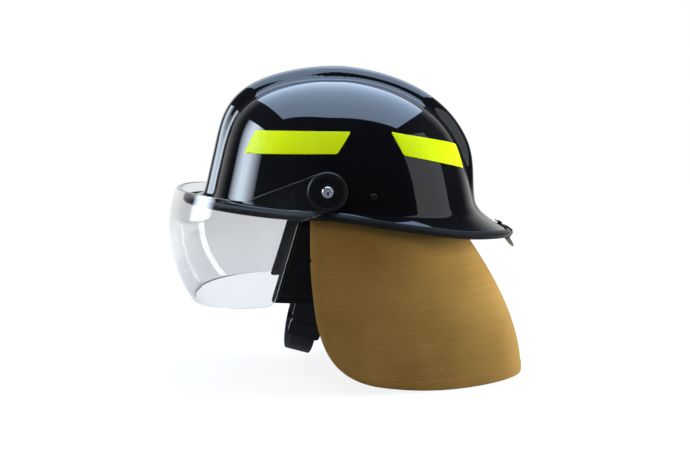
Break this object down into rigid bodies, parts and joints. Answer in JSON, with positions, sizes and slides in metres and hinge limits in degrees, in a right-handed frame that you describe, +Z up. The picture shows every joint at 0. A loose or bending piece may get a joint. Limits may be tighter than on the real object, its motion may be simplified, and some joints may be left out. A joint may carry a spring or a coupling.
{
  "type": "firefighter helmet",
  "caption": "Structural firefighting helmet with a swept brim, hinged clear face shield, reflective panels, cloth neck curtain, ratchet headband and chin strap.",
  "frame": {"origin": "middle of the headband, where the wearer's head is held", "axes": "-Y towards the wearer's face, +X towards the wearer's left, +Z up through the crown"},
  "size_m": [0.2682, 0.3798, 0.3322],
  "materials": {
    "shell_black": "gloss",
    "trim_black": "satin",
    "reflector_lime": "satin",
    "foam_grey": "matte",
    "webbing_black": "matte",
    "nylon_black": "satin",
    "pad_leather": "satin",
    "shield_clear": "polished",
    "screw_steel": "polished",
    "ring_steel": "satin",
    "curtain_tan": "matte",
    "lining_black": "matte"
  },
  "bodies": {
    "helmet": {"outer_shell": "shell_black", "edge_trim": "trim_black", "reflector_front_left": "reflector_lime", "reflector_front_right": "reflector_lime", "reflector_rear_left": "reflector_lime", "reflector_rear_right": "reflector_lime", "impact_liner": "foam_grey", "crown_strap_1": "webbing_black", "crown_strap_2": "webbing_black", "crown_strap_3": "webbing_black", "suspension_key_1": "nylon_black", "suspension_key_2": "nylon_black", "suspension_key_3": "nylon_black", "suspension_key_4": "nylon_black", "suspension_key_5": "nylon_black", "suspension_key_6": "nylon_black", "crown_pad": "pad_leather", "headband": "nylon_black", "brow_pad": "pad_leather", "pivot_bracket_left": "nylon_black", "pivot_bracket_right": "nylon_black", "inner_washer_left": "foam_grey", "inner_washer_right": "foam_grey", "outer_washer_left": "foam_grey", "outer_washer_right": "foam_grey", "pivot_disc_left": "nylon_black", "pivot_disc_right": "nylon_black", "pivot_screw_left": "screw_steel", "pivot_screw_right": "screw_steel", "pivot_nut_left": "screw_steel", "pivot_nut_right": "screw_steel", "curtain_strip": "webbing_black", "neck_curtain": "curtain_tan", "curtain_lining": "lining_black", "strip_rivet_left": "nylon_black", "strip_rivet_right": "nylon_black", "anchor_rivet_left": "nylon_black", "anchor_rivet_right": "nylon_black", "hanger_clip": "nylon_black", "hanger_rivet": "nylon_black"},
    "shield": {"face_shield": "shield_clear"},
    "chin_loop": {"strap_anchor_left": "screw_steel", "strap_anchor_right": "screw_steel", "chin_strap_left": "webbing_black", "chin_strap_right": "webbing_black", "buckle_socket": "nylon_black", "buckle_plug": "nylon_black"},
    "slide": {"strap_slide": "nylon_black"},
    "nape_carriage": {"nape_strap_left": "nylon_black", "nape_strap_right": "nylon_black", "ratchet_cover": "nylon_black", "ratchet_plate": "nylon_black", "nape_pad": "pad_leather"},
    "ratchet": {"ratchet_pinion": "nylon_black", "ratchet_knob": "nylon_black"},
    "ring": {"hanger_ring": "ring_steel"}
  },
  "joints": [
    {"name": "shield_tilt", "type": "hinge", "parent": "helmet", "child": "shield", "pos_m": [0, -0.022, 0.0106], "axis": [-1, 0, 0], "range_deg": [0, 80]},
    {"name": "chin_loop_swing", "type": "hinge", "parent": "helmet", "child": "chin_loop", "pos_m": [0, -0.008, -0.003], "axis": [1, 0, 0], "range_deg": [-40, 35]},
    {"name": "strap_slide_travel", "type": "slide", "parent": "chin_loop", "child": "slide", "axis": [0.1297, -0.2566, -0.9578], "range_m": [-0.012, 0.045]},
    {"name": "nape_travel", "type": "slide", "parent": "helmet", "child": "nape_carriage", "axis": [0, -1, 0], "range_m": [-0.01, 0.012]},
    {"name": "ratchet_turn", "type": "hinge", "parent": "nape_carriage", "child": "ratchet", "pos_m": [0, 0.11, -0.02], "axis": [0, 1, 0], "range_deg": [-165, 165]},
    {"name": "ring_swing", "type": "hinge", "parent": "helmet", "child": "ring", "pos_m": [0, 0.17966, -0.0488], "axis": [1, 0, 0], "range_deg": [-120, 65]}
  ],
  "couplings": [
    {"joint": "ratchet_turn", "follows": "nape_travel", "rad_per_m": 227}
  ]
}
